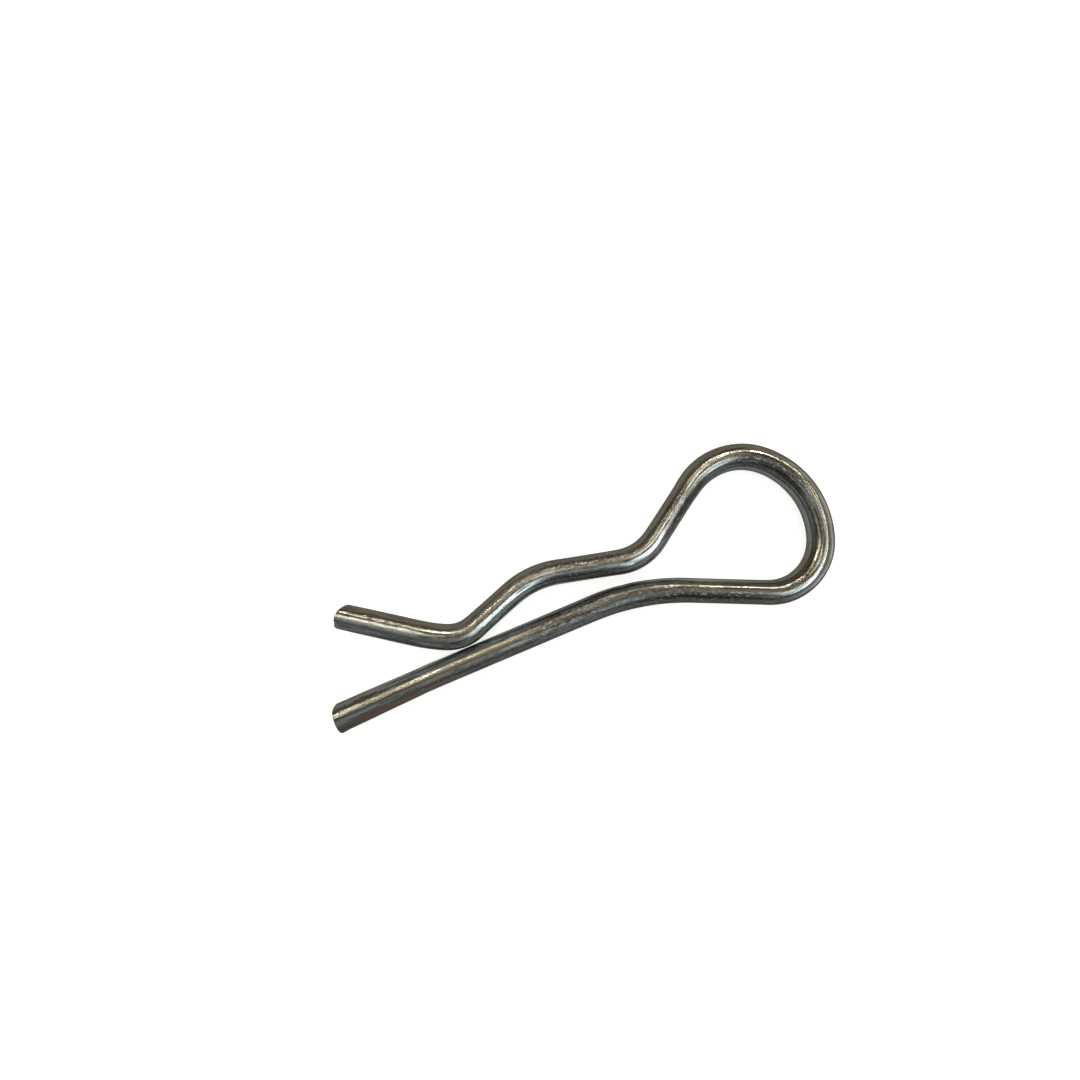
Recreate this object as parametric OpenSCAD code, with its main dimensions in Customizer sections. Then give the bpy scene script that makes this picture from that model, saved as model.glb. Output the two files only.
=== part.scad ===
// R clip (hitch clip): one length of round spring wire, bent flat.
// The straight leg goes through the cross hole of a hitch pin. The bent leg snaps over the pin:
// its hump holds the pin's shank and its nip closes on the straight leg.
// The wire is written the way it is bent: straight stretches and bends in order, from the cut
// end of the straight leg, round the loop, to the cut end of the flared tip.
// The clip lies flat on z = 0. X runs along the end of the straight leg, towards the loop.
// Lengths are in millimetres, angles in degrees, and bend radii are those of the wire's centre line.

/* [Wire] */
// Diameter of the spring wire
wire_d = 4; // [3:0.1:5]
// How much the wire's radius swells in its tight bends
tight_swell = 0.06; // [0.06:0.01:0.12]
// How much the wire's radius swells in its wide bends
wide_swell = 0.03; // [0.025:0.005:0.035]

/* [Straight leg] */
// Straight stretch from the cut end to the slight set of the leg
leg_tip_len = 14.9; // [10:0.1:17]
// Slight set of the leg ahead of the nip
leg_set_angle = 1.5; // [1:0.25:3]
// Radius of the slight set
leg_set_r = 60; // [40:5:80]
// Straight stretch from the slight set to the long bend
leg_len = 26.5; // [22:0.5:29]

/* [Loop] */
// Long bend from the leg into the base of the loop
long_bend_angle = 24.5; // [20:0.5:28]
// Radius of the long bend
long_r = 36; // [26:1:44]
// Straight base of the loop
base_len = 12.2; // [9:0.1:16]
// Turn of the tight corner after the base
corner_angle = 94; // [85:1:102]
// Radius of the tight corner
corner_r = 7.9; // [7:0.1:9.5]
// Turn of the wide side of the loop
side_angle = 69; // [60:1:78]
// Radius of the wide side
side_r = 13.5; // [12:0.1:15.5]
// Radius of the crown of the loop
crown_r = 9.6; // [8.8:0.1:11]
// Straight shoulder that comes down from the crown
shoulder_len = 9.8; // [8:0.1:11]

/* [Bent leg] */
// Turn of the waist, where the loop ends
waist_angle = 48.5; // [44:0.5:52]
// Radius of the waist
waist_r = 8; // [6.5:0.1:10]
// Straight back of the hump, over the pin's shank
back_len = 9.8; // [7:0.1:12]
// Turn at the front of the hump
hump_angle = 33; // [29.5:0.5:37]
// Radius at the front of the hump
hump_r = 13.5; // [9:0.1:18]
// Angle at which the front of the hump comes down to the straight leg
closing_angle = 19; // [15:0.5:22]

/* [Nip and flare] */
// Radius of the nip
nip_r = 6; // [4:0.1:9]
// Gap left between the nip and the straight leg
nip_gap = 0.05; // [0.02:0.01:0.5]
// Turn of the nip past the straight leg's direction
lift_angle = 26.5; // [20:0.5:32]
// Slow bend from the nip into the flared tip
ease_angle = 9; // [4:0.5:12]
// Radius of the slow bend
ease_r = 30; // [20:1:45]
// Straight stretch of the flared tip, to its cut end
flare_len = 12.3; // [8:0.1:16]

/* [Sheared ends] */
// Radius of the edge that the shear rolled over on the straight leg
leg_roll_r = 1; // [0.8:0.1:2]
// Height above the wire's axis at which that edge starts to roll over
leg_roll_start = 1.1; // [0.8:0.05:1.4]
// Slant of the cut on the straight leg
leg_cut_angle = 6; // [2:0.5:10]
// Radius of the rolled edge on the flared tip
flare_roll_r = 2.3; // [1.6:0.1:3.2]
// Height above the wire's axis at which that edge starts to roll over
flare_roll_start = 0.1; // [-0.4:0.05:0.6]
// Slant of the cut on the flared tip
flare_cut_angle = 1; // [0.5:0.5:5]

/* [Hidden] */
$fn = 64;
ZINC = [0.60, 0.58, 0.53];
wire_r = wire_d / 2;
tight_wire_r = wire_r + tight_swell;
wide_wire_r = wire_r + wide_swell;
// How far each step runs into its neighbours, which makes one solid of them
lap = 0.02;

// A step of the bending plan is [length, bend radius, turn, wire radius]. A turn to the left
// is positive.
function straight(length) = [length, 0, 0, wire_r];
function tight_bend(radius, turn) = [0, radius, turn, tight_wire_r];
function wide_bend(radius, turn) = [0, radius, turn, wide_wire_r];

// The crown makes up the turn that is left once the front of the hump has its angle to the leg.
crown_angle = 180 + closing_angle + long_bend_angle + waist_angle - hump_angle - corner_angle - side_angle;

FROM_LEG = [
    straight(leg_tip_len),
    wide_bend(leg_set_r, -leg_set_angle),
    straight(leg_len),
    wide_bend(long_r, -long_bend_angle),
    straight(base_len),
    tight_bend(corner_r, corner_angle),
    wide_bend(side_r, side_angle),
    tight_bend(crown_r, crown_angle),
    straight(shoulder_len),
    tight_bend(waist_r, -waist_angle),
    straight(back_len),
    wide_bend(hump_r, hump_angle)
];

// A frame is [x, y, heading] on the wire's centre line. These walk the plan from frame to frame.
function left_of(frame) = [-sin(frame[2]), cos(frame[2])];
function place(frame) = [frame[0], frame[1]];
function turned(frame, radius, turn) =
    let (side = sign(turn) * radius, heading = frame[2] + turn)
    let (end = place(frame) + side * left_of(frame) - side * left_of([0, 0, heading]))
    [end[0], end[1], heading];
function after(frame, step) =
    step[2] == 0
        ? [frame[0] + step[0] * cos(frame[2]), frame[1] + step[0] * sin(frame[2]), frame[2]]
        : turned(frame, step[1], step[2]);
function frames(steps, frame = [0, 0, 0], i = 0) =
    i == len(steps)
        ? [frame]
        : concat([frame], frames(steps, after(frame, steps[i]), i + 1));

// The front of the hump is as long as it takes for the nip to reach the straight leg.
hump_frames = frames(FROM_LEG);
leg_frame = hump_frames[2];
hump_end = hump_frames[len(FROM_LEG)];
hump_height = (place(hump_end) - place(leg_frame)) * left_of(leg_frame);
nip_drop = nip_r * (1 - cos(closing_angle));
nip_spacing = wire_r + nip_gap + tight_wire_r;
front_len = (hump_height - nip_drop - nip_spacing) / sin(closing_angle);

TO_TIP = [
    straight(front_len),
    tight_bend(nip_r, -closing_angle - lift_angle),
    wide_bend(ease_r, -ease_angle),
    straight(flare_len)
];
PLAN = concat(FROM_LEG, TO_TIP);
LAST = len(PLAN) - 1;

// How far behind the cut end the rolled edge runs out into the side of the wire.
function roll_back(roll_r, roll_start, slant) =
    (wire_r + roll_start) * tan(slant) + roll_r
    - sqrt(max(0, pow(roll_r, 2) - pow(wire_r - roll_start, 2)));

// The clip's outline in plan: both sides of the wire where a step starts or ends, and where a bend
// runs level with an axis. It gives the middle of the clip, which is the origin.
PLAN_FRAMES = frames(PLAN);
function level_frames(i) = [
    for (level = [-360:90:360])
        if ((level - PLAN_FRAMES[i][2]) * (level - PLAN_FRAMES[i + 1][2]) < 0)
            turned(PLAN_FRAMES[i], PLAN[i][1], level - PLAN_FRAMES[i][2])
];
function step_frames(i) =
    concat([PLAN_FRAMES[i]], level_frames(i), i < LAST ? [PLAN_FRAMES[i + 1]] : []);
tip_frame = PLAN_FRAMES[LAST + 1];
roll_frame = after(tip_frame, straight(-roll_back(flare_roll_r, flare_roll_start, flare_cut_angle)));
outline = concat(
    [for (i = [0:LAST]) for (f = step_frames(i), side = [-1, 1])
        place(f) + side * PLAN[i][3] * left_of(f)],
    [place(tip_frame) + wire_r * left_of(tip_frame), place(roll_frame) - wire_r * left_of(roll_frame)]
);
outline_x = [for (p = outline) p[0]];
outline_y = [for (p = outline) p[1]];
middle = [max(outline_x) + min(outline_x), max(outline_y) + min(outline_y)] / 2;

// A straight stretch of wire along X.
module stretch(length) {
    translate([-lap, 0, 0]) rotate([0, 90, 0]) cylinder(d = wire_d, h = length + 2 * lap);
}

// A bent stretch that starts along X. The side is 1 for a turn to the left and -1 to the right.
module curve(radius, angle, side, thick_r) {
    lap_angle = lap / radius * 180 / PI;
    translate([0, side * radius, 0])
        rotate([0, 0, (side > 0 ? -90 : 90 - angle) - lap_angle])
            rotate_extrude(angle = angle + 2 * lap_angle)
                translate([radius, 0]) circle(r = thick_r);
}

// Plan of a sheared end that points along X: a slanted cut, rolled over on the left side.
module cut_plan(length, roll_r, roll_start, slant) {
    function cut_x(y) = length - (y + wire_r) * tan(slant);
    roll_x = cut_x(roll_start) - roll_r;
    polygon([
        [-wire_d, -wire_d],
        [cut_x(-wire_d), -wire_d],
        [cut_x(roll_start), roll_start],
        [roll_x, roll_start],
        [roll_x, wire_d],
        [-wire_d, wire_d]
    ]);
    translate([roll_x, roll_start]) circle(r = roll_r);
}

module sheared_stretch(length, roll_r, roll_start, slant) {
    intersection() {
        stretch(length);
        translate([0, 0, -wire_d])
            linear_extrude(2 * wire_d) cut_plan(length, roll_r, roll_start, slant);
    }
}

module leg_end() {
    translate([leg_tip_len, 0, 0]) mirror([1, 0, 0])
        sheared_stretch(leg_tip_len, leg_roll_r, leg_roll_start, leg_cut_angle);
}

module flare_end() {
    mirror([0, 1, 0])
        sheared_stretch(flare_len, flare_roll_r, flare_roll_start, flare_cut_angle);
}

// One step of the plan, drawn from the origin along X.
module step_wire(i) {
    step = PLAN[i];
    if (i == 0) leg_end();
    else if (i == LAST) flare_end();
    else if (step[2] == 0) stretch(step[0]);
    else curve(step[1], abs(step[2]), sign(step[2]), step[3]);
}

// Draws the wire from step i on: the step itself, then the rest from the step's end.
module wire_from(i) {
    step_wire(i);
    if (i < LAST) {
        end = after([0, 0, 0], PLAN[i]);
        translate([end[0], end[1], 0]) rotate([0, 0, end[2]]) wire_from(i + 1);
    }
}

module r_clip() {
    color(ZINC) translate([-middle[0], -middle[1], tight_wire_r]) wire_from(0);
}

r_clip();
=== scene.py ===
import math

import bpy
import numpy as np
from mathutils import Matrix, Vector


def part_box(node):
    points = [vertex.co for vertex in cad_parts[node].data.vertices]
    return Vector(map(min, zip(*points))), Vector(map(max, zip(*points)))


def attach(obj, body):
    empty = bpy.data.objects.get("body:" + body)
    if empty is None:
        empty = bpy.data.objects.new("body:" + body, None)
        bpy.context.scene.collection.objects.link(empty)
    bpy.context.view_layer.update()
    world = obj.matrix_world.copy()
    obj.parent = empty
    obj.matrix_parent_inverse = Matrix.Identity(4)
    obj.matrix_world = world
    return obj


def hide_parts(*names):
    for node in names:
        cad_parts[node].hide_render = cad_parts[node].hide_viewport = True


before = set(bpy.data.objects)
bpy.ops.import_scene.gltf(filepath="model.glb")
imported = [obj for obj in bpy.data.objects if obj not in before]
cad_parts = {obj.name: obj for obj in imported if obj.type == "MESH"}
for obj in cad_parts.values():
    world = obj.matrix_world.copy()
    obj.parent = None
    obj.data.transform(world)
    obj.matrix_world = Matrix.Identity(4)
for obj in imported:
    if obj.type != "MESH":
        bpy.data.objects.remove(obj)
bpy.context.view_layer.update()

# The clip is one length of round zinc-plated wire. It replaces the CAD solid with a finer sweep
# along the same bending plan, with sheared ends, draw lines and tool marks.
# Lengths of the wire are in millimetres up to the mesh, which is in metres.
MM = 0.001

# --- Wire and bending plan, as in the CAD solid -------------------------------------------------
WIRE_R = 2.0
TIGHT_SWELL = 0.06
WIDE_SWELL = 0.03
LEG_TIP_LEN, LEG_SET_R, LEG_SET_ANGLE, LEG_LEN = 14.9, 60.0, 1.5, 26.5
LONG_R, LONG_ANGLE, BASE_LEN = 36.0, 24.5, 12.2
CORNER_R, CORNER_ANGLE, SIDE_R, SIDE_ANGLE = 7.9, 94.0, 13.5, 69.0
CROWN_R, SHOULDER_LEN = 9.6, 9.8
WAIST_R, WAIST_ANGLE, BACK_LEN = 8.0, 48.5, 9.8
HUMP_R, HUMP_ANGLE, CLOSING_ANGLE = 13.5, 33.0, 19.0
NIP_R, NIP_GAP, LIFT_ANGLE = 6.0, 0.05, 26.5
EASE_R, EASE_ANGLE, FLARE_LEN = 30.0, 9.0, 12.3
# The crown makes up the turn that the other bends leave.
CROWN_ANGLE = (180 + CLOSING_ANGLE + LONG_ANGLE + WAIST_ANGLE
               - HUMP_ANGLE - CORNER_ANGLE - SIDE_ANGLE)
AXIS_HEIGHT = WIRE_R + TIGHT_SWELL

# --- Mesh ---------------------------------------------------------------------------------------
AROUND = 80                  # points round the wire
RING_SPACING = 0.22
PATH_STEP = 0.02
BEND_BLEND = 0.55            # how far a bend runs into its neighbours
SWELL_BLEND = 2 * BEND_BLEND
WINDOW_REACH = 3             # reach of the blending window, in its own widths


# A step of the plan is its length, bend radius, turn in degrees (left is positive), wire radius.
def straight(length):
    return (length, 0.0, 0.0, WIRE_R)


def tight_bend(radius, turn):
    return (0.0, radius, turn, WIRE_R + TIGHT_SWELL)


def wide_bend(radius, turn):
    return (0.0, radius, turn, WIRE_R + WIDE_SWELL)


def walk(steps):
    """Points, headings and wire radii along the bending plan, a small step apart."""
    x, y, heading = 0.0, 0.0, 0.0
    rows = [(x, y, heading, WIRE_R)]
    for length, radius, turn, wire_r in steps:
        arc = length if turn == 0 else radius * math.radians(abs(turn))
        count = max(2, round(arc / PATH_STEP))
        half = math.radians(turn) / count / 2
        chord = arc / count if turn == 0 else 2 * radius * math.sin(abs(half))
        for _ in range(count):
            x += chord * math.cos(heading + half)
            y += chord * math.sin(heading + half)
            heading += 2 * half
            rows.append((x, y, heading, wire_r))
    return np.array(rows)


def bending_plan():
    """The steps from the cut end of the straight leg to the cut end of the flared tip."""
    to_hump = [
        straight(LEG_TIP_LEN), wide_bend(LEG_SET_R, -LEG_SET_ANGLE), straight(LEG_LEN),
        wide_bend(LONG_R, -LONG_ANGLE), straight(BASE_LEN), tight_bend(CORNER_R, CORNER_ANGLE),
        wide_bend(SIDE_R, SIDE_ANGLE), tight_bend(CROWN_R, CROWN_ANGLE), straight(SHOULDER_LEN),
        tight_bend(WAIST_R, -WAIST_ANGLE), straight(BACK_LEN), wide_bend(HUMP_R, HUMP_ANGLE),
    ]
    # The front of the hump is as long as it takes for the nip to reach the straight leg.
    leg = walk(to_hump[:2])[-1]
    hump = walk(to_hump)[-1]
    height = (hump[1] - leg[1]) * math.cos(leg[2]) - (hump[0] - leg[0]) * math.sin(leg[2])
    closing = math.radians(CLOSING_ANGLE)
    spacing = 2 * WIRE_R + TIGHT_SWELL + NIP_GAP
    front_len = (height - NIP_R * (1 - math.cos(closing)) - spacing) / math.sin(closing)
    return to_hump + [
        straight(front_len), tight_bend(NIP_R, -CLOSING_ANGLE - LIFT_ANGLE),
        wide_bend(EASE_R, -EASE_ANGLE), straight(FLARE_LEN),
    ]


def blended(values, width):
    """A running mean with a bell-shaped window, which keeps the two ends where they are."""
    reach = int(WINDOW_REACH * width / PATH_STEP)
    window = np.exp(-0.5 * (np.arange(-reach, reach + 1) * PATH_STEP / width) ** 2)
    start = 2 * values[0] - values[reach:0:-1]
    end = 2 * values[-1] - values[-2:-reach - 2:-1]
    return np.convolve(np.concatenate([start, values, end]), window / window.sum(), "valid")


def smoothstep(low, high, value):
    t = np.clip((value - low) / (high - low), 0, 1)
    return t * t * (3 - 2 * t)


def degrees_from(centre, angle):
    """Degrees from a line along the wire to an angle round it, -180 to 180."""
    return (np.degrees(angle) - centre + 180) % 360 - 180


# --- Surface relief -----------------------------------------------------------------------------
# The die leaves broad and fine flats round the wire. They twist slowly along it, in radians per
# millimetre, and the fine ones come and go.
FLATS, FLAT_TWIST, FLAT_START, FLAT_DEPTH = 5, 0.021, 0.8, 0.0045
FINE_FLATS, FINE_FLAT_TWIST, FINE_FLAT_DEPTH = 13, -0.034, 0.0022
FINE_FLAT_MEAN, FINE_FLAT_SWING, FINE_FLAT_PACE = 0.6, 0.4, 0.11
# Ripples lie slightly askew across the wire, and come and go too.
WAVE_PACE, WAVE_SKEW, WAVE_FADE_PACE, WAVE_DEPTH = 0.83, 2, 0.19, 0.004
SKIN_BACK = 0.002            # how far the whole skin is set back from the CAD solid's

# Tool marks: distance along the wire, angle round it, length, width in degrees, depth.
TOOL_MARKS = [
    (141.5, 150, 2.2, 26, 0.035), (137.0, 118, 1.6, 18, 0.02), (116.5, 60, 2.0, 24, 0.03),
    (97.0, 40, 2.4, 20, 0.025), (79.5, 64, 1.2, 14, 0.03), (83.5, 58, 0.8, 10, 0.025),
    (54.0, 215, 2.6, 30, 0.02), (30.0, 120, 1.0, 12, 0.012), (48.3, 12, 0.7, 22, 0.09),
    (168.5, 112, 1.4, 16, 0.02), (165.2, 96, 1.1, 18, 0.02), (153.0, 80, 1.3, 20, 0.03),
]

# Distance along the wire and how much wider than drawn each side of it is there, in plan only.
WIDTHS = [
    (0, 0.25), (4, 0.2), (15, 0), (50, 0), (58, -0.07), (72, -0.07), (80, 0), (108, 0),
    (115, -0.13), (122, -0.1), (127, -0.04), (136, -0.06), (152, -0.04), (160, 0),
    (166, 0.07), (171, 0.05), (177, 0),
]


def relief(along, angle):
    """The skin's distance from a true cylinder, always inwards and so below 0."""
    flats = np.cos(FLATS * angle + FLAT_TWIST * along + FLAT_START) - 1
    fading = FINE_FLAT_MEAN + FINE_FLAT_SWING * np.sin(FINE_FLAT_PACE * along)
    fine = np.cos(FINE_FLATS * angle + FINE_FLAT_TWIST * along) * fading - 1
    wave = np.sin(WAVE_PACE * along + WAVE_SKEW * np.cos(angle)) * np.sin(WAVE_FADE_PACE * along)
    dents = 0.0
    for at, centre, length, width, depth in TOOL_MARKS:
        turn = degrees_from(centre, angle)
        dents = dents - depth * np.exp(-((along - at) / length) ** 2 - (turn / width) ** 2)
    drawn = FLAT_DEPTH * flats + FINE_FLAT_DEPTH * fine + WAVE_DEPTH * (wave - 1)
    return drawn + dents - SKIN_BACK


# --- Patches of the plating, and of painted shade, reflection and highlight ---------------------
# Distance along the wire, angle round it, length, width in degrees, strength.
PATCHES = {
    "dull": [
        (134.0, 120, 9.0, 24, 1.0), (52.0, 66, 8.0, 26, 0.8), (40.0, 85, 9.0, 60, 1.0),
        (130.0, 110, 3.0, 24, 0.8), (156.5, 75, 4.0, 45, 0.5), (64.0, 120, 8.0, 22, 0.7),
        (100.0, 60, 12.0, 18, 0.7), (137.0, 112, 3.0, 24, 0.5), (20.0, 135, 10.0, 12, 0.4),
    ],
    "polished": [
        (149.0, 70, 6.5, 26, 1.0), (124.5, 74, 3.6, 22, 1.0), (107.0, 73, 3.6, 22, 1.0),
        (90.4, 62, 1.6, 12, 1.0), (76.0, 110, 4.4, 22, 1.0),
    ],
    "stain": [
        (9.5, 127, 6.5, 14, 1.0), (17.5, 131, 3.0, 11, 0.6), (136.6, 125, 0.5, 7, 0.6),
    ],
    # Painted shade: darker patches that stand in for dark reflections and dimmed highlights.
    "painted_shade": [
        (134.0, 115, 8.0, 20, 0.9), (60.0, 110, 15.0, 34, 1.0), (63.0, 98, 12.0, 14, 1.0),
        (99.0, 76, 9.0, 34, 1.0), (135.0, 66, 7.0, 28, 0.9), (116.0, 66, 4.5, 24, 0.8),
        (90.0, 64, 4.0, 14, 0.4), (4.0, 52, 6.0, 16, 0.7), (22.0, 118, 9.0, 16, 0.6),
        (112.5, 54, 3.0, 22, 0.7), (168.0, 38, 7.0, 16, 0.5), (168.0, 121, 7.5, 9, 0.75),
        (116.0, 110, 5.0, 11, 0.7), (107.0, 118, 4.0, 10, 0.7), (51.0, 68, 8.0, 14, 1.0),
        (40.0, 68, 7.0, 14, 0.75), (8.0, 68, 7.0, 16, 0.7), (76.0, 67, 4.0, 11, 1.0),
        (66.0, 66, 5.0, 8, 0.5), (79.0, 82, 3.0, 8, 0.5), (87.0, 152, 9.0, 15, 0.8),
        (88.0, 80, 7.0, 11, 0.7), (134.0, 107, 7.0, 9, 0.8), (149.0, 104, 6.0, 9, 0.75),
        (157.0, 104, 4.0, 8, 0.5),
    ],
    # Painted reflection: lighter teal patches and thin glints on the flanks, standing in for the
    # floor seen in them.
    "flank_reflection": [
        (153.0, 8, 9.0, 42, 1.0), (24.0, 8, 11.0, 38, 1.0), (50.0, 26, 16.0, 24, 0.45),
        (134.0, 28, 9.0, 22, 0.5), (30.0, 42, 29.0, 12, 0.9), (134.0, 42, 9.0, 12, 0.8),
        (32.6, 21, 4.5, 7, 1.0), (13.0, 21, 6.0, 7, 1.0), (51.7, 21, 2.2, 7, 1.0),
        (167.0, 21, 4.0, 7, 1.0),
    ],
    # Painted highlight: more reflective patches laid on the highlight lines to brighten them.
    "painted_highlight": [
        (169.5, 101, 7.5, 17, 1.0), (158.0, 117, 3.5, 12, 1.0), (134.0, 91, 8.0, 9, 1.0),
        (88.0, 117, 11.0, 17, 1.0), (149.0, 118, 6.0, 9, 0.8), (115.5, 91, 7.0, 12, 1.0),
        (106.5, 94, 4.0, 12, 1.0), (76.0, 92, 4.6, 12, 1.0),
    ],
}


def patchwork(patches, along, angle):
    """0 away from the patches, up to their strength in their middles."""
    total = np.zeros_like(along)
    for at, centre, length, width, strength in patches:
        turn = degrees_from(centre, angle)
        patch = strength * np.exp(-((along - at) / length) ** 4 - (turn / width) ** 2)
        total = np.maximum(total, patch)
    return total


# --- Sheared ends -------------------------------------------------------------------------------
LEG_ROLL_R, LEG_ROLL_START, LEG_CUT_ANGLE = 1.0, 1.1, 6.0
FLARE_ROLL_R, FLARE_ROLL_START, FLARE_CUT_ANGLE = 2.3, 0.1, 1.0
LEG_RIM_R, FLARE_RIM_R = 0.1, 0.22
LEG_BURR, LEG_BURR_LEN = 0.08, 1.6
TIP_STEP_AT, TIP_STEP, TIP_STEP_HALF = -0.77, 0.1, 0.1
TIP_NOTCH, TIP_NOTCH_HALF = 0.07, 0.12
TIP_CORNER_R = 0.55

# Rings of the last stretch, of the rim and of the cut face.
END_LEN = 3.4
END_RINGS, RIM_RINGS, FACE_RINGS = 26, 5, 16
SKIN, RIM, FACE = 0.0, 0.5, 1.0          # how much of a cut face each kind of ring is


def sheared(side, roll_r, roll_start, cut_angle):
    """How far a slanted cut stands past the wire's full length, at a distance to the rolled side.

    It is 0 at the far side, and below 0 from there to where the edge is rolled over.
    """
    slope = math.tan(math.radians(cut_angle))
    over = np.clip(side - roll_start, 0, roll_r)
    rolled = -(roll_start + WIRE_R) * slope - roll_r + np.sqrt(roll_r ** 2 - over ** 2)
    return np.where(side > roll_start, rolled, -(side + WIRE_R) * slope)


def leg_reach(side):
    return sheared(side, LEG_ROLL_R, LEG_ROLL_START, LEG_CUT_ANGLE)


def flare_reach(side):
    """A long rolled edge, a small step with a notch at its foot, a lower face, a round corner."""
    reach = sheared(side, FLARE_ROLL_R, FLARE_ROLL_START, FLARE_CUT_ANGLE)
    step = smoothstep(TIP_STEP_AT + TIP_STEP_HALF, TIP_STEP_AT - TIP_STEP_HALF, side)
    notch = np.exp(-((side - TIP_STEP_AT) / TIP_NOTCH_HALF) ** 2)
    under = np.clip(-side - WIRE_R + TIP_CORNER_R, 0, TIP_CORNER_R)
    reach = reach - TIP_STEP * step - TIP_NOTCH * notch
    return reach - TIP_CORNER_R + np.sqrt(TIP_CORNER_R ** 2 - under ** 2)


# --- Sweep --------------------------------------------------------------------------------------
# Columns of a point of the skin. The patches' columns follow in their own order.
PLACE, COORDS, HEADING = slice(0, 3), slice(3, 6), slice(6, 8)
FIRST_PATCH = 8
GRAIN_RISE = 0.02            # the grain's rise on the skin; on the cut faces it is 1


class Wire:
    """The swept wire: its smoothed path, and the rings of its skin."""

    def __init__(self):
        rows = walk(bending_plan())
        self.x, self.y = blended(rows[:, 0], BEND_BLEND), blended(rows[:, 1], BEND_BLEND)
        self.radius = blended(rows[:, 3], SWELL_BLEND)
        steps = np.hypot(np.diff(self.x), np.diff(self.y))
        self.along = np.concatenate([[0], np.cumsum(steps)])
        self.heading = np.unwrap(np.arctan2(np.gradient(self.y), np.gradient(self.x)))
        self.length = self.along[-1]

    def at(self, along):
        """Centre, heading and wire radius at a distance along the wire."""
        rows = (self.x, self.y, self.heading, self.radius)
        return [np.interp(along, self.along, values) for values in rows]

    def reach(self, x, y):
        """How far a true round wire reaches in a direction of the plan, its ends apart."""
        return (self.x * x + self.y * y + self.radius).max()

    def skin(self, along, angle, scale=1.0):
        """Points of the wire's skin, or inside it where scale is under 1."""
        inside = np.clip(along, 0, self.length)
        x, y, heading, radius = self.at(inside)
        x = x + (along - inside) * np.cos(heading)
        y = y + (along - inside) * np.sin(heading)
        burr = LEG_BURR * smoothstep(LEG_BURR_LEN, 0, along) * np.clip(-np.cos(angle), 0, 1) ** 2
        radius = (radius + relief(along, angle) + burr) * scale
        wider = 1 + np.interp(along, *zip(*WIDTHS)) / WIRE_R
        side, height = radius * np.cos(angle) * wider, radius * np.sin(angle)
        return np.stack([
            x - side * np.sin(heading), y + side * np.cos(heading), AXIS_HEIGHT + height,
            side, height, along,
            np.cos(heading), np.sin(heading),
            *(patchwork(patches, along, angle) for patches in PATCHES.values()),
        ], axis=-1)


def round_angles():
    return np.linspace(0, 2 * np.pi, AROUND, endpoint=False)


def end_rings(wire, reach, rim_r, at_start):
    """Rings from the last full ring to the middle of the cut face, and what kind each one is."""
    angle = round_angles()
    base, outward = (END_LEN, -1) if at_start else (wire.length - END_LEN, 1)
    rim_scale = 1 - rim_r / WIRE_R

    def ring(scale, back, part=1.0):
        side = -outward * WIRE_R * np.cos(angle) * scale
        length = part * (END_LEN + reach(side) - back)
        return wire.skin(base + outward * length, angle, scale)

    rings = [ring(1.0, rim_r, i / END_RINGS) for i in range(1, END_RINGS + 1)]
    for turn in np.linspace(0, math.pi / 2, RIM_RINGS + 1)[1:]:
        scale = 1 - rim_r / WIRE_R * (1 - math.cos(turn))
        rings.append(ring(scale, rim_r * (1 - math.sin(turn))))
    rings += [ring(rim_scale * (1 - i / FACE_RINGS), 0.0) for i in range(1, FACE_RINGS)]
    return rings, [SKIN] * END_RINGS + [RIM] * RIM_RINGS + [FACE] * (FACE_RINGS - 1)


def ring_faces(total):
    """Faces between neighbouring rings, then a fan on each end round a point of its own."""
    here = np.arange(AROUND)
    after = (here + 1) % AROUND
    start = np.arange(total - 1)[:, None] * AROUND
    near_here, near_after = start + here, start + after
    quads = np.stack([near_here + AROUND, near_after + AROUND, near_after, near_here], axis=-1)
    first, last = total * AROUND, total * AROUND + 1
    last_ring = (total - 1) * AROUND
    pairs = list(zip(here.tolist(), after.tolist()))
    faces = quads.reshape(-1, 4).tolist()
    faces += [(a, b, first) for a, b in pairs]
    return faces + [(last_ring + b, last_ring + a, last) for a, b in pairs]


def keep(mesh, name, values):
    """Keeps a number or a vector for each point of the mesh."""
    kind, field = ("FLOAT", "value") if values.ndim == 1 else ("FLOAT_VECTOR", "vector")
    data = mesh.attributes.new(name, kind, "POINT").data
    data.foreach_set(field, values.astype(np.float32).ravel())


def put(name, data):
    """Puts an object into the scene."""
    made = bpy.data.objects.new(name, data)
    bpy.context.scene.collection.objects.link(made)
    return made


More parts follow.
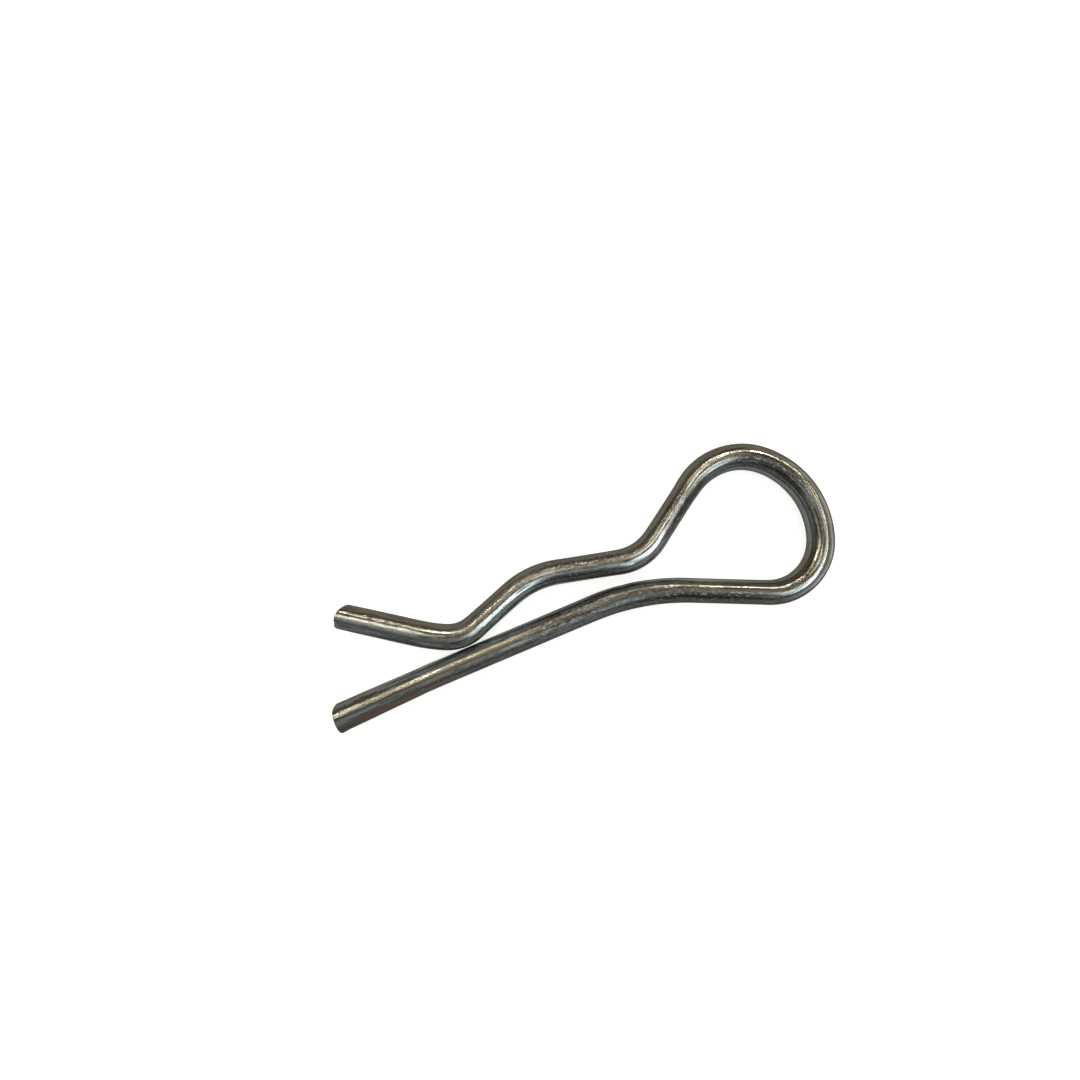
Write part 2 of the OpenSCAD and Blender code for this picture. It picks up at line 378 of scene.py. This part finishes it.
def make_wire():
    """The wire's mesh, with the coordinates and patches that its material draws on."""
    wire = Wire()
    angle = round_angles()
    count = round((wire.length - 2 * END_LEN) / RING_SPACING) + 1
    middle = [wire.skin(np.full(AROUND, along), angle)
              for along in np.linspace(END_LEN, wire.length - END_LEN, count)]
    leg_rings, leg_kinds = end_rings(wire, leg_reach, LEG_RIM_R, True)
    tip_rings, tip_kinds = end_rings(wire, flare_reach, FLARE_RIM_R, False)
    rings = np.array(leg_rings[::-1] + middle + tip_rings)
    kinds = leg_kinds[::-1] + [SKIN] * len(middle) + tip_kinds
    centres = [rings[0].mean(axis=0), rings[-1].mean(axis=0)]
    points = np.vstack([rings.reshape(-1, rings.shape[-1]), centres])
    cut = np.append(np.repeat(kinds, AROUND), [FACE, FACE])

    # The right and lower sides of the CAD solid set the wire's place.
    low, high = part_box("r_clip")
    place = points[:, PLACE] * MM
    place[:, 0] += high[0] - wire.reach(1, 0) * MM
    place[:, 1] += low[1] + wire.reach(0, -1) * MM
    mesh = bpy.data.meshes.new("clip_wire")
    mesh.from_pydata(place.tolist(), [], ring_faces(len(rings)))
    for polygon in mesh.polygons:
        polygon.use_smooth = True
    keep(mesh, "wire", points[:, COORDS])
    rise = GRAIN_RISE + (1 - GRAIN_RISE) * cut
    keep(mesh, "grain", np.column_stack([points[:, HEADING], rise]))
    keep(mesh, "cut_face", cut)
    for column, name in enumerate(PATCHES, FIRST_PATCH):
        keep(mesh, name, points[:, column])
    mesh.validate()
    return put("clip_wire", mesh)


# --- Materials ----------------------------------------------------------------------------------
def new_tree(name):
    material = bpy.data.materials.new(name)
    material.use_nodes = True
    tree = material.node_tree
    tree.nodes.clear()
    return material, tree


def add(tree, kind, inputs=(), **settings):
    """Adds a node, sets its properties, and links or sets its inputs by name or number."""
    made = tree.nodes.new(kind)
    for key, value in settings.items():
        setattr(made, key, value)
    for key, value in dict(inputs).items():
        socket = made.inputs[key]
        if isinstance(value, bpy.types.NodeSocket):
            tree.links.new(value, socket)
        else:
            socket.default_value = value
    return made


def attribute(tree, name, output="Fac"):
    return add(tree, "ShaderNodeAttribute", attribute_name=name).outputs[output]


def maths(tree, operation, *values):
    return add(tree, "ShaderNodeMath", dict(enumerate(values)), operation=operation).outputs[0]


def chain(tree, operation, values):
    """One operation over a row of values."""
    total = values[0]
    for value in values[1:]:
        total = maths(tree, operation, total, value)
    return total


def times(tree, *values):
    return chain(tree, "MULTIPLY", values)


def most(tree, *values):
    return chain(tree, "MAXIMUM", values)


def less(tree, value):
    return maths(tree, "SUBTRACT", 1.0, value)


def spread(tree, value, at_none, at_full):
    """A value from 0 to 1 spread from at_none to at_full."""
    return maths(tree, "MULTIPLY_ADD", value, at_full - at_none, at_none)


def dot(tree, a, b):
    made = add(tree, "ShaderNodeVectorMath", {0: a, 1: b}, operation="DOT_PRODUCT")
    return made.outputs["Value"]


def ramp(tree, value, low, high):
    """0 where value is under low, 1 over high, smooth between."""
    return add(tree, "ShaderNodeMapRange", {"Value": value, "From Min": low, "From Max": high},
               interpolation_type="SMOOTHSTEP").outputs[0]


# Sockets of a mix node: its factor, its two colours and what they give.
MIX_FACTOR, MIX_A, MIX_B, MIX_RESULT = 0, 6, 7, 2


def mix_colour(tree, factor, a, b):
    made = add(tree, "ShaderNodeMix", {MIX_FACTOR: factor, MIX_A: a, MIX_B: b}, data_type="RGBA")
    return made.outputs[MIX_RESULT]


# Noise over the wire's own coordinates: scale, detail, roughness, and how far its features are
# stretched across the wire, up and along it.
NOISES = {
    "bands": (1.1, 2.0, 0.5, (1, 1, 14)),
    "lines": (3.4, 2.0, 0.5, (1, 1, 40)),
    "streak": (2.8, 2.0, 0.6, (1, 1, 12)),
    "mottle": (1.2, 3.0, 0.6, (1, 1, 2.2)),
    "specks": (3.2, 2.0, 0.7, (1, 1, 1.8)),
    "shear": (3.0, 3.0, 0.6, (12, 1, 12)),
}


def noise(tree, coords, name):
    scale, detail, roughness, stretch = NOISES[name]
    mapped = add(tree, "ShaderNodeVectorMath", {0: coords, 1: tuple(1 / s for s in stretch)},
                 operation="MULTIPLY").outputs[0]
    made = add(tree, "ShaderNodeTexNoise",
               {"Vector": mapped, "Scale": scale, "Detail": detail, "Roughness": roughness})
    return made.outputs[0]


ZINC = (0.22, 0.20, 0.165, 1)
ZINC_COOL = (0.20, 0.205, 0.20, 1)
ZINC_DULL = (0.19, 0.185, 0.18, 1)
# Dark zinc, for the dark streaks and pits, and for the patches of painted shade.
ZINC_DARK = (0.055, 0.05, 0.045, 1)
ZINC_LIGHT = (0.42, 0.41, 0.38, 1)
# Painted shade on the wire's flanks, tinted like what they would reflect: warm on one side and cool
# on the other, and on the leg the cool side plain and darker.
WARM_FLANK_SHADE = (0.135, 0.115, 0.085, 1)
COOL_FLANK_SHADE = (0.145, 0.18, 0.178, 1)
PLAIN_FLANK_SHADE = (0.05, 0.048, 0.048, 1)
# Painted reflection: the light teal of the floor as seen in the flanks.
FLANK_REFLECTION_ZINC = (0.42, 0.46, 0.46, 1)
# Polished zinc, also used for the patches of painted highlight.
POLISHED_AND_HIGHLIGHT_ZINC = (0.60, 0.61, 0.59, 1)
STAIN = (0.15, 0.075, 0.05, 1)
CUT_STEEL = (0.13, 0.125, 0.12, 1)
EDGE_TINT = (0.45, 0.47, 0.48, 1)
# The painted flank shade is warm on flanks that face this way, and cool on the others.
WARM_WAY = (0.413, 0.911, 0)             # flanks that face this way are warm, the others cool

# Where each mask starts and where it is full. Places are millimetres along the wire, heights are
# millimetres over or under its axis, and the rest are values of a noise.
LOOP_START, LOOP_END, LEG_END = (57, 66), (118, 110), (84, 74)
# Heights of the rim's streaks and of the painted flank shade, and the facing that makes the flank
# shade warm.
RIM_HEIGHT, FLANK_HEIGHT = (0.95, 0.5), (1.9, 1.45)
WARM_FACING = (-0.3, 0.3)
BANDS, BROKEN, SHEAR_MARKS = (0.35, 0.65), (0.42, 0.58), (0.3, 0.6)
# The streaks of the rim, of the dark patches and of the bright patches break up painted light and
# shade.
RIM_STREAKS, DARK_STREAKS, PAINTED_SHADE_STREAKS = (0.5, 0.62), (0.52, 0.64), (0.16, 0.38)
STAIN_STREAKS, HIGHLIGHT_STREAKS = (0.3, 0.45), (0.25, 0.45)
PIT_SPECKS, GRAIN_SPECKS = (0.42, 0.34), (0.55, 0.66)

# How strong each mask is, or how strong where its cause is none and where it is full.
RIM_STRENGTH, FLANK_STRENGTH, STREAK_STRENGTH, GRAIN_STRENGTH = 0.5, 0.9, 0.75, 0.6
# Pits are stronger on the painted shade and the dull patches.
DULL_BROKEN, POLISHED_BROKEN, PITS_DULL_OR_SHADED, CUT_SHEARED = (0.5, 1), (0.7, 1), (0.3, 0.9), (0.75, 1)

# Roughness, and what each mask adds to it.
ROUGHNESS = 0.31
ROUGHER = {"dull": 0.14, "loop": -0.03, "polished": -0.1, "pits": 0.2}

# The mirror layer of the plating. It is weaker where it isn't polished, and taken off by these:
# dull and pitted zinc, dark streaks, the cut faces, and the painted shade on the flanks and in
# patches.
COAT_POLISHED, COAT_ROUGHNESS, COAT_IOR = (0.4, 1), 0.11, 4.0
COAT_OFF_BY = ("flank_shade", "dull", "cut_face", "painted_shade", "streaks", "pits")

# Bumps in metres, and what calms the two coarser ones.
LINE_BUMP, MOTTLE_BUMP, SPECK_BUMP, SHEAR_BUMP = 0.000008, 0.00003, 0.00006, 0.00003
# Specks are stronger on the painted shade and the dull patches.
CALMED, SPECKS_DULL_OR_SHADED = (1, 0.3), (0.25, 1)


def zinc_masks(tree, coords, noises):
    """Where each kind of surface is, and where shade, reflection and highlight are painted, from 0
    to 1.
    """
    apart = add(tree, "ShaderNodeSeparateXYZ", {0: coords}).outputs
    height, along = maths(tree, "ABSOLUTE", apart[1]), apart[2]
    streak, specks = noises["streak"], noises["specks"]
    broken = ramp(tree, noises["mottle"], *BROKEN)
    patch = {name: attribute(tree, name) for name in PATCHES}
    cut_face = attribute(tree, "cut_face")
    uncut = less(tree, cut_face)
    # The painted shade and the dull patches together, where pits and specks go.
    dull_or_shaded = most(tree, patch["painted_shade"], patch["dull"])
    # The rim: streaks along the flanks' outer edge where the painted flank shade is left off, so
    # the floor's reflection shows there.
    rim = times(tree, ramp(tree, height, *RIM_HEIGHT), ramp(tree, streak, *RIM_STREAKS),
                RIM_STRENGTH)
    shear = ramp(tree, noises["shear"], *SHEAR_MARKS)
    return {
        "loop": times(tree, ramp(tree, along, *LOOP_START), ramp(tree, along, *LOOP_END)),
        "leg": ramp(tree, along, *LEG_END),
        "cut_face": cut_face,
        "cut": times(tree, cut_face, spread(tree, shear, *CUT_SHEARED)),
        "dull_or_shaded": dull_or_shaded,
        # Painted shade: the flanks are darker, as if they reflected less, except in the rim's
        # streaks and on the cut faces.
        "flank_shade": times(tree, ramp(tree, height, *FLANK_HEIGHT), less(tree, rim), uncut,
                       FLANK_STRENGTH),
        "dull": times(tree, patch["dull"], spread(tree, broken, *DULL_BROKEN)),
        "polished": times(tree, patch["polished"], spread(tree, broken, *POLISHED_BROKEN)),
        "stain": times(tree, patch["stain"], ramp(tree, streak, *STAIN_STREAKS)),
        # Painted shade patches, broken into streaks.
        "painted_shade": times(tree, patch["painted_shade"], ramp(tree, streak, *PAINTED_SHADE_STREAKS)),
        # Painted reflection on the flanks, not on the cut faces.
        "flank_reflection": times(tree, patch["flank_reflection"], uncut),
        # Painted highlight patches, broken into streaks.
        "painted_highlight": times(tree, patch["painted_highlight"], ramp(tree, streak, *HIGHLIGHT_STREAKS)),
        "streaks": times(tree, ramp(tree, streak, *DARK_STREAKS), uncut, STREAK_STRENGTH),
        "pits": times(tree, ramp(tree, specks, *PIT_SPECKS),
                      spread(tree, dull_or_shaded, *PITS_DULL_OR_SHADED), uncut),
        "grains": times(tree, ramp(tree, specks, *GRAIN_SPECKS), dull_or_shaded, GRAIN_STRENGTH),
    }


def zinc_colour(tree, masks, bands):
    """Zinc in long bands, and over it the other kinds of surface and the painted shade, reflection
    and highlight, each on the one before.
    """
    normal = add(tree, "ShaderNodeTexCoord").outputs["Normal"]
    # Which flanks get the warm painted shade and which get the cool, by the way they face.
    warm = ramp(tree, dot(tree, normal, WARM_WAY), *WARM_FACING)
    cool_flank_shade = mix_colour(tree, masks["leg"], COOL_FLANK_SHADE, PLAIN_FLANK_SHADE)
    # Of these layers, the flank colours and the dark patches are painted shade, the teal flank
    # patches are painted reflection, and the bright patches are painted highlight.
    layers = {
        "painted_highlight": POLISHED_AND_HIGHLIGHT_ZINC, "polished": POLISHED_AND_HIGHLIGHT_ZINC,
        "flank_shade": mix_colour(tree, warm, cool_flank_shade, WARM_FLANK_SHADE), "flank_reflection": FLANK_REFLECTION_ZINC,
        "dull": ZINC_DULL, "painted_shade": ZINC_DARK, "streaks": ZINC_DARK, "pits": ZINC_DARK,
        "grains": ZINC_LIGHT, "cut": CUT_STEEL, "stain": STAIN,
    }
    colour = mix_colour(tree, ramp(tree, bands, *BANDS), ZINC_COOL, ZINC)
    for name, over in layers.items():
        colour = mix_colour(tree, masks[name], colour, over)
    return colour


def zinc_relief(tree, masks, noises):
    """Draw lines, mottle and specks on the skin, and the shear's marks on the cut faces."""
    calm = times(tree, spread(tree, masks["loop"], *CALMED),
                 spread(tree, masks["polished"], *CALMED))
    specks = times(tree, spread(tree, masks["dull_or_shaded"], *SPECKS_DULL_OR_SHADED), calm)
    layers = [("lines", 1.0, LINE_BUMP), ("mottle", calm, MOTTLE_BUMP),
              ("specks", specks, SPECK_BUMP), ("shear", masks["cut_face"], SHEAR_BUMP)]
    below = {}
    for name, strength, distance in layers:
        made = add(tree, "ShaderNodeBump", {"Height": noises[name], "Strength": strength,
                                            "Distance": distance, **below})
        below = {"Normal": made.outputs[0]}
    return below["Normal"]


def zinc_wire_material():
    material, tree = new_tree("zinc_wire")
    coords = attribute(tree, "wire", "Vector")
    noises = {name: noise(tree, coords, name) for name in NOISES}
    masks = zinc_masks(tree, coords, noises)
    rough = ROUGHNESS
    for name, change in ROUGHER.items():
        rough = maths(tree, "MULTIPLY_ADD", masks[name], change, rough)
    # The coat is taken off by wear, and where shade is painted.
    coat_off = most(tree, *(masks[name] for name in COAT_OFF_BY))
    coat = times(tree, spread(tree, masks["polished"], *COAT_POLISHED), less(tree, coat_off))
    normal = zinc_relief(tree, masks, noises)
    shader = add(tree, "ShaderNodeBsdfPrincipled", {
        "Base Color": zinc_colour(tree, masks, noises["bands"]), "Metallic": 1.0,
        "Roughness": rough, "Specular Tint": EDGE_TINT,
        "Anisotropic": 1.0, "Tangent": attribute(tree, "grain", "Vector"),
        "Coat Weight": coat, "Coat Roughness": COAT_ROUGHNESS, "Coat IOR": COAT_IOR,
        "Normal": normal, "Coat Normal": normal,
    })
    add(tree, "ShaderNodeOutputMaterial", {"Surface": shader.outputs[0]})
    return material


# --- Camera and lamps ---------------------------------------------------------------------------
# The camera looks straight down on the flat clip, from close by, with a wide lens.
CAMERA_PLACE = Vector((-0.00127, 0.01076, 0.09476))
CAMERA_TURN = -24.417
LENS, SENSOR = 20.0, 36.0
NEAREST, FARTHEST = 0.001, 50
RIGHT = Vector((math.cos(math.radians(CAMERA_TURN)), math.sin(math.radians(CAMERA_TURN)), 0))
UP = Vector((-RIGHT.y, RIGHT.x, 0))

LAMP_HEIGHT = 0.6
WARM, COOL = (1.0, 0.92, 0.68), (0.83, 1.0, 0.99)
PLAIN, YELLOW = (1.0, 0.99, 0.92), (1.0, 0.88, 0.55)

# Soft boxes over the clip: name, place to the right and up in the photo, length and width, all
# in lamp heights, then turn in degrees, glow and colour.
LAMPS = [
    ("main_lamp", 0.74, 1.08, 0.16, 0.12, 0, 250.0, WARM),
    ("second_lamp", 0.2, 1.12, 0.12, 0.08, 0, 220.0, WARM),
    ("third_lamp", -0.15, 1.07, 0.3, 0.08, -12, 36.0, WARM),
    ("fourth_lamp", -0.7, 0.38, 0.42, 0.06, 24, 45.0, WARM),
    ("overhead_lamp", -0.04, 0.26, 0.14, 0.4, 0, 4.5, PLAIN),
    ("side_lamp", 0.7, 0.04, 0.06, 0.5, 0, 11.0, YELLOW),
    ("low_lamp", -0.62, 0.14, 0.4, 0.25, 10, 2.6, WARM),
    ("window", 0.64, -0.31, 0.9, 0.34, -38, 2.4, COOL),
    ("low_window", 0.3, -0.66, 0.95, 0.2, -58, 2.4, COOL),
    ("far_window", -2.2, -2.0, 0.9, 0.7, 45, 3.0, COOL),
]


def make_camera():
    data = bpy.data.cameras.new("camera")
    data.lens, data.sensor_width = LENS, SENSOR
    data.clip_start, data.clip_end = NEAREST, FARTHEST
    camera = put("camera", data)
    camera.location = CAMERA_PLACE
    camera.rotation_euler = (0, 0, math.radians(CAMERA_TURN))
    bpy.context.scene.camera = camera


def make_lamps():
    for name, right, up, length, width, turn, glow, colour in LAMPS:
        data = bpy.data.lights.new(name, "AREA")
        data.shape = "RECTANGLE"
        data.size, data.size_y = length * LAMP_HEIGHT, width * LAMP_HEIGHT
        data.energy = glow * math.pi * data.size * data.size_y
        data.color = colour
        made = put(name, data)
        made.location = (RIGHT * right + UP * up + Vector((0, 0, 1))) * LAMP_HEIGHT
        made.rotation_euler = (0, 0, math.radians(CAMERA_TURN + turn))


# --- Floor and room -----------------------------------------------------------------------------
FLOOR_SIZE = 6.0
FLOOR_COLOUR = (0.5, 0.5, 0.5, 1)
# The floor's glow as seen near the clip, seen far from it, and mirrored. It goes from near to far
# between these distances.
SEEN_GLOW, FAR_GLOW, MIRRORED_GLOW = 0.8, 1.0, 0.4
NEAR, FAR = 0.08, 0.4

ROOM_WARM, ROOM_COOL = (0.27, 0.235, 0.18, 1), (0.17, 0.17, 0.17, 1)
ROOM_LOW, ROOM_DARK = (0.40, 0.43, 0.43, 1), (0.07, 0.065, 0.06, 1)
HORIZON, WHITE = (0.6, 0.61, 0.6, 1), (1, 1, 1, 1)

# Directions of the room, as right and up in the photo and height, each with the cosines at which
# its colour starts and is full.
COOL_SIDE, COOL_FADE = (0.1, -1, 0.2), (-0.2, 0.5)
LOW_SIDE, LOW_FADE = (0, 0, -1), (-0.5, -0.2)
DARK_SPOT, DARK_FADE = (-0.2, 0.4, 1), (0.86, 0.99)
OVERHEAD, HORIZON_FADE = (0, 0, 1), (0.34, 0.1)


def ray_kinds(tree):
    """Whether a ray comes from the camera, and whether it is mirrored or passes through glass."""
    path = add(tree, "ShaderNodeLightPath").outputs
    return path["Is Camera Ray"], most(tree, path["Is Glossy Ray"], path["Is Transmission Ray"])


def floor_material():
    """A pale floor that glows to camera rays up to white, shadows kept, and less in mirrors."""
    material, tree = new_tree("floor")
    seen, mirrored = ray_kinds(tree)
    place = add(tree, "ShaderNodeTexCoord").outputs["Object"]
    distance = add(tree, "ShaderNodeVectorMath", {0: place}, operation="LENGTH").outputs["Value"]
    seen_glow = spread(tree, ramp(tree, distance, NEAR, FAR), SEEN_GLOW, FAR_GLOW)
    glow = most(tree, times(tree, seen, seen_glow), times(tree, mirrored, MIRRORED_GLOW))
    shader = add(tree, "ShaderNodeBsdfPrincipled", {
        "Base Color": FLOOR_COLOUR, "Roughness": 1.0, "Specular IOR Level": 0.0,
        "Emission Color": WHITE, "Emission Strength": glow,
    })
    add(tree, "ShaderNodeOutputMaterial", {"Surface": shader.outputs[0]})
    return material


def make_floor():
    half = FLOOR_SIZE / 2
    corners = [(-half, -half, 0), (half, -half, 0), (half, half, 0), (-half, half, 0)]
    mesh = bpy.data.meshes.new("floor")
    mesh.from_pydata(corners, [], [(0, 1, 2, 3)])
    mesh.materials.append(floor_material())
    floor = put("floor", mesh)


def direction_mask(tree, direction, aim, fade):
    """1 towards a direction of the room, 0 away from it."""
    right, up, high = aim
    aim = (RIGHT * right + UP * up + Vector((0, 0, high))).normalized()
    return ramp(tree, dot(tree, direction, tuple(aim)), *fade)


def make_world():
    """A plain room: warm on one side, cool on the other, darker overhead, with a white backdrop."""
    world = bpy.data.worlds.new("room")
    world.use_nodes = True
    tree = world.node_tree
    tree.nodes.clear()
    direction = add(tree, "ShaderNodeTexCoord").outputs["Generated"]
    cool = direction_mask(tree, direction, COOL_SIDE, COOL_FADE)
    low = direction_mask(tree, direction, LOW_SIDE, LOW_FADE)
    dark = direction_mask(tree, direction, DARK_SPOT, DARK_FADE)
    horizon = direction_mask(tree, direction, OVERHEAD, HORIZON_FADE)
    seen, mirrored = ray_kinds(tree)
    colour = mix_colour(tree, cool, ROOM_WARM, mix_colour(tree, low, ROOM_COOL, ROOM_LOW))
    colour = mix_colour(tree, dark, colour, ROOM_DARK)
    colour = mix_colour(tree, times(tree, mirrored, horizon), colour, HORIZON)
    colour = mix_colour(tree, seen, colour, WHITE)
    shade = add(tree, "ShaderNodeBackground", {"Color": colour, "Strength": 1.0})
    add(tree, "ShaderNodeOutputWorld", {"Surface": shade.outputs[0]})
    bpy.context.scene.world = world


make_camera()
make_floor()
make_lamps()
make_world()
clip = make_wire()
clip.data.materials.append(zinc_wire_material())
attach(clip, "root")
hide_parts("r_clip")
bpy.context.scene.view_settings.view_transform = "Standard"
